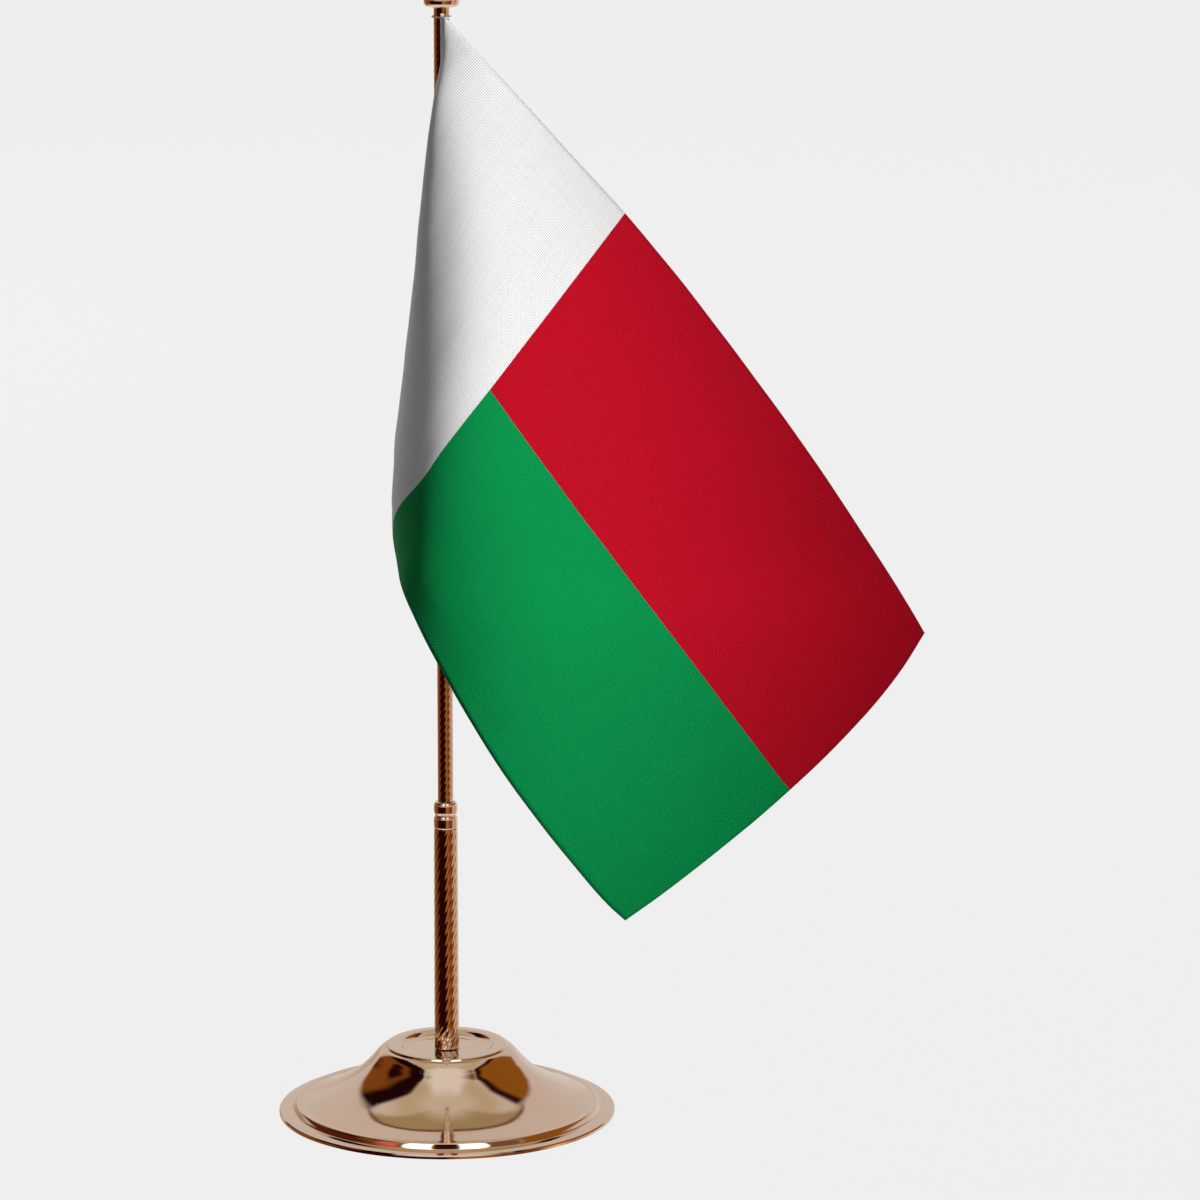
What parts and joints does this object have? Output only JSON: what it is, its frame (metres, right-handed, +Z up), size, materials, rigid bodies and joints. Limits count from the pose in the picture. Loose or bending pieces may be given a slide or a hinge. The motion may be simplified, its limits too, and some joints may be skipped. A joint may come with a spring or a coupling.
{
  "type": "desk flag stand",
  "caption": "Desk flag stand with a round bell base, a twisted two-section metal pole, a turned finial and a tricolour cloth flag.",
  "frame": {"origin": "on the pole axis, at the underside of the felt that the stand rests on", "axes": "+Z up along the pole, +X from the pole towards the fly of the flag, -Y towards the viewer"},
  "size_m": [0.185, 0.1225, 0.3483],
  "materials": {
    "plated_metal": "mirror-polished rose-gold plating",
    "cast_ballast": "rough cast",
    "felt": "dark felt",
    "steel": "zinc-plated",
    "nylon": "natural nylon",
    "rubber": "matt black",
    "printed_cloth": "printed plain-weave polyester, white, red and green",
    "white_cloth": "white woven tape and cord"
  },
  "bodies": {
    "base": {"base_shell": "plated_metal", "ballast_disc": "cast_ballast", "base_felt": "felt", "clamp_screw": "steel", "screw_washer": "steel", "foot_insert": "steel", "lower_tube": "plated_metal", "pole_collar": "plated_metal"},
    "bush": {"friction_bush": "nylon"},
    "rod": {"upper_rod": "plated_metal", "rod_spigot": "steel", "stop_ring": "rubber"},
    "flag": {"flag_cloth": "printed_cloth", "hoist_tape": "white_cloth", "hoist_loop_top": "white_cloth", "hoist_loop_middle": "white_cloth", "hoist_loop_bottom": "white_cloth"},
    "finial": {"finial_bead": "plated_metal", "finial_ball": "plated_metal", "finial_stem": "steel"}
  },
  "joints": [
    {"name": "rod_swivel", "type": "hinge", "parent": "base", "child": "bush", "pos_m": [0, 0, 0.0935], "axis": [0, 0, 1], "continuous": true},
    {"name": "rod_lift", "type": "slide", "parent": "bush", "child": "rod", "axis": [0, 0, 1], "range_m": [0, 0.01]},
    {"name": "flag_swivel", "type": "hinge", "parent": "rod", "child": "flag", "pos_m": [0, 0, 0.255], "axis": [0, 0, 1], "continuous": true},
    {"name": "finial_lift", "type": "slide", "parent": "rod", "child": "finial", "axis": [0, 0, 1], "range_m": [0, 0.009]}
  ]
}
